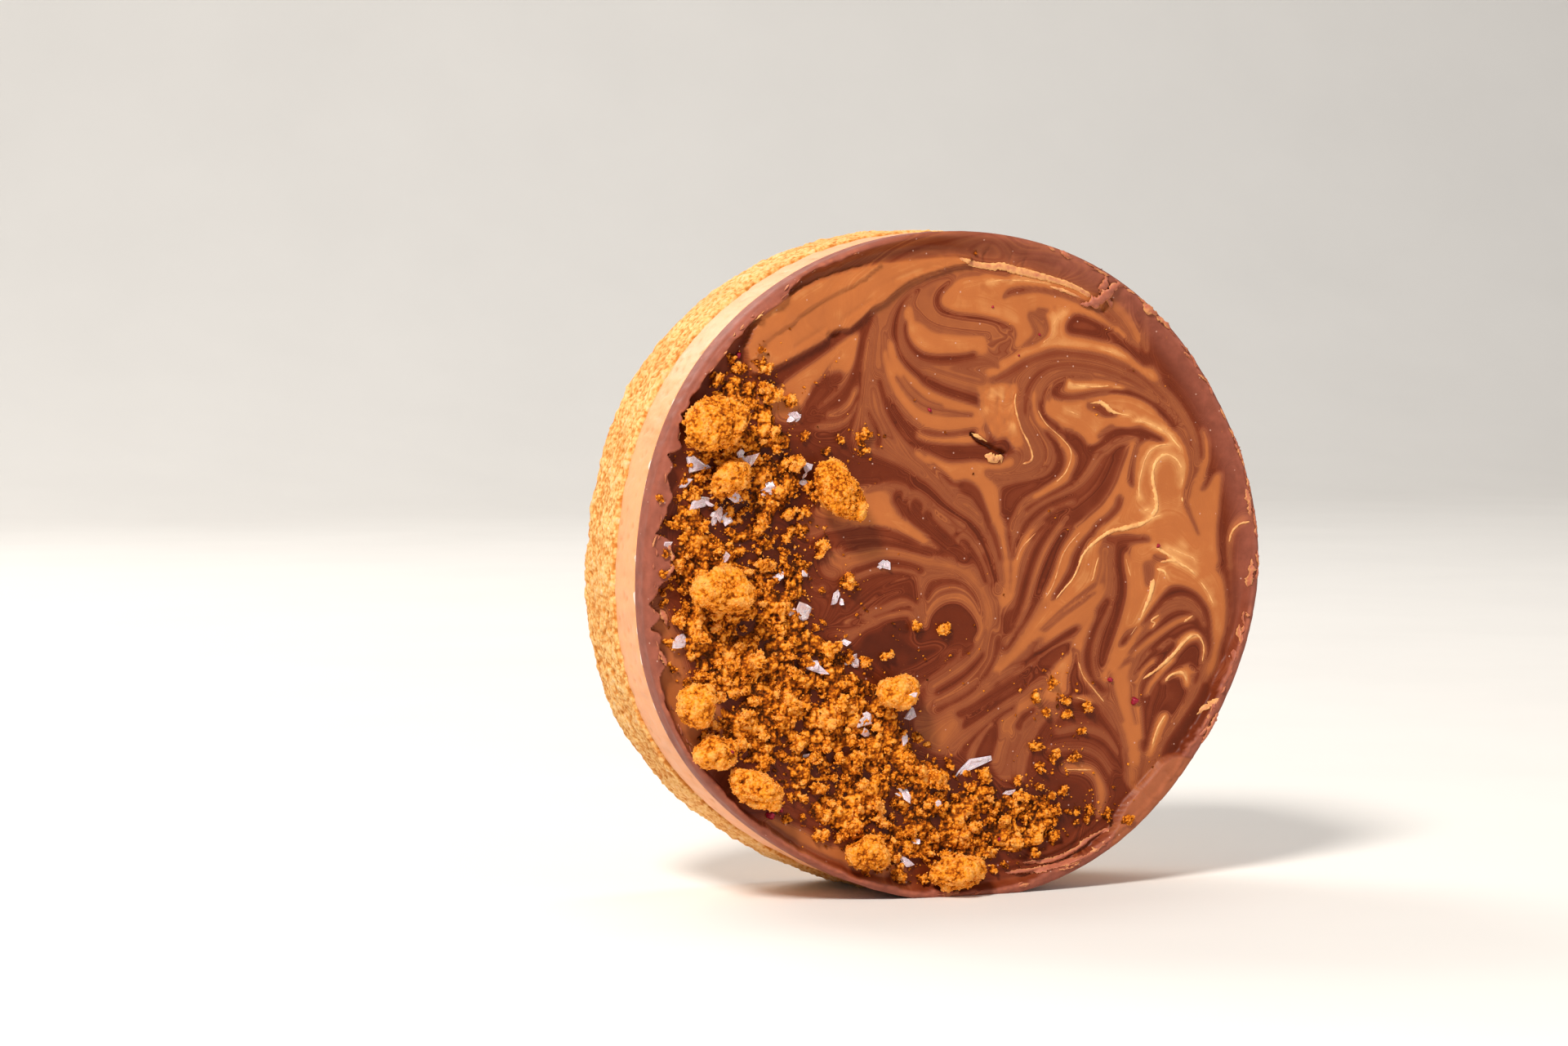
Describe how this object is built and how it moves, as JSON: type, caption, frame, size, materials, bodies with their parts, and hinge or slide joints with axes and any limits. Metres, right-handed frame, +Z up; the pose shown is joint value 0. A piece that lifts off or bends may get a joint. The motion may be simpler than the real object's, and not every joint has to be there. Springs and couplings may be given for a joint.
{
  "type": "caramel shortbread round",
  "caption": "Round layered biscuit standing on its rim: shortbread base, caramel layer, marbled chocolate top with crumbs and salt flakes.",
  "frame": {"origin": "on the floor, under the middle of the box, with the round standing on a small flat spot of its rim", "axes": "+Z up, the marbled chocolate face looks along -Y and the shortbread's back along +Y, +X to the right of someone who looks at the face"},
  "size_m": [0.0806, 0.026, 0.0795],
  "materials": {
    "shortbread": "matte, crumbly",
    "caramel": "satin",
    "chocolate": "satin, marbled",
    "crumb": "matte, crumbly"
  },
  "bodies": {
    "root": {"shortbread_base": "shortbread", "caramel_layer": "caramel", "chocolate_top": "chocolate", "crumb_crescent": "crumb", "crumb_lump_1": "crumb", "crumb_lump_2": "crumb", "crumb_lump_3": "crumb", "crumb_lump_4": "crumb", "crumb_lump_5": "crumb", "crumb_lump_6": "crumb", "crumb_lump_7": "crumb", "crumb_lump_8": "crumb", "crumb_lump_9": "crumb", "crumb_lump_10": "crumb"}
  },
  "joints": []
}
